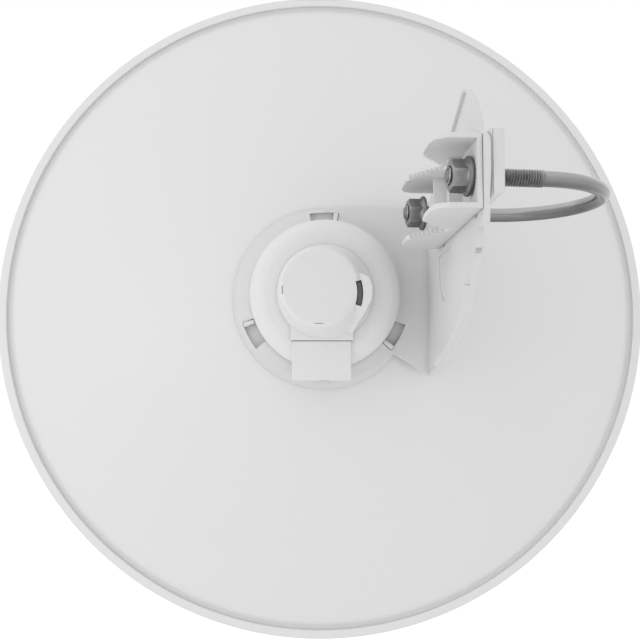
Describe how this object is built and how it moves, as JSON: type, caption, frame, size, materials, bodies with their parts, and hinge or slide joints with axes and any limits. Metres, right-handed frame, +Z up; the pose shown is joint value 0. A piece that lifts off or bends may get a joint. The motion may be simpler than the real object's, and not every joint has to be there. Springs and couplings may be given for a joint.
{
  "type": "wireless dish antenna",
  "caption": "Round white dish antenna with a radio housing on its back, a feed in front and a tilting bracket on a U-bolt pole clamp.",
  "frame": {"origin": "centre of the clamp's flat pole face, on the tilt axis, level with the U-bolt", "axes": "+Y along the dish's boresight, +Z up, +X towards the pole (the clamp itself is turned 1.7 degrees about +Z)"},
  "size_m": [0.42, 0.2772, 0.42],
  "materials": {
    "reflector_white": "powder coat, satin white",
    "housing_white": "moulded plastic, satin white",
    "bracket_white": "glass-filled moulded plastic, matte white",
    "disc_grey": "smooth bare disc",
    "dark_window": "smoked light window",
    "zinc_steel": "dark zinc-plated steel",
    "grommet_rubber": "grey rubber"
  },
  "bodies": {
    "pole_clamp": {"pole_jaw": "bracket_white", "toothed_clamp": "bracket_white", "u_bolt": "zinc_steel", "near_flange_nut": "zinc_steel", "far_flange_nut": "zinc_steel"},
    "antenna": {"mounting_bracket": "bracket_white", "reflector_dish": "reflector_white", "rear_housing": "housing_white", "housing_boss": "housing_white", "badge_disc": "disc_grey", "status_window": "dark_window", "port_cover": "housing_white", "cable_grommet": "grommet_rubber", "lock_tab_top": "housing_white", "lock_tab_lower_left": "housing_white", "lock_tab_lower_right": "housing_white", "retaining_ring": "housing_white", "feed_collar": "housing_white", "feed_tube": "housing_white", "feed_head": "housing_white", "feed_cap": "housing_white"}
  },
  "joints": [
    {"name": "elevation_tilt", "type": "hinge", "parent": "pole_clamp", "child": "antenna", "pos_m": [0, 0, 0], "axis": [0.9996, 0.0297, 0], "range_deg": [-15, 15]}
  ]
}
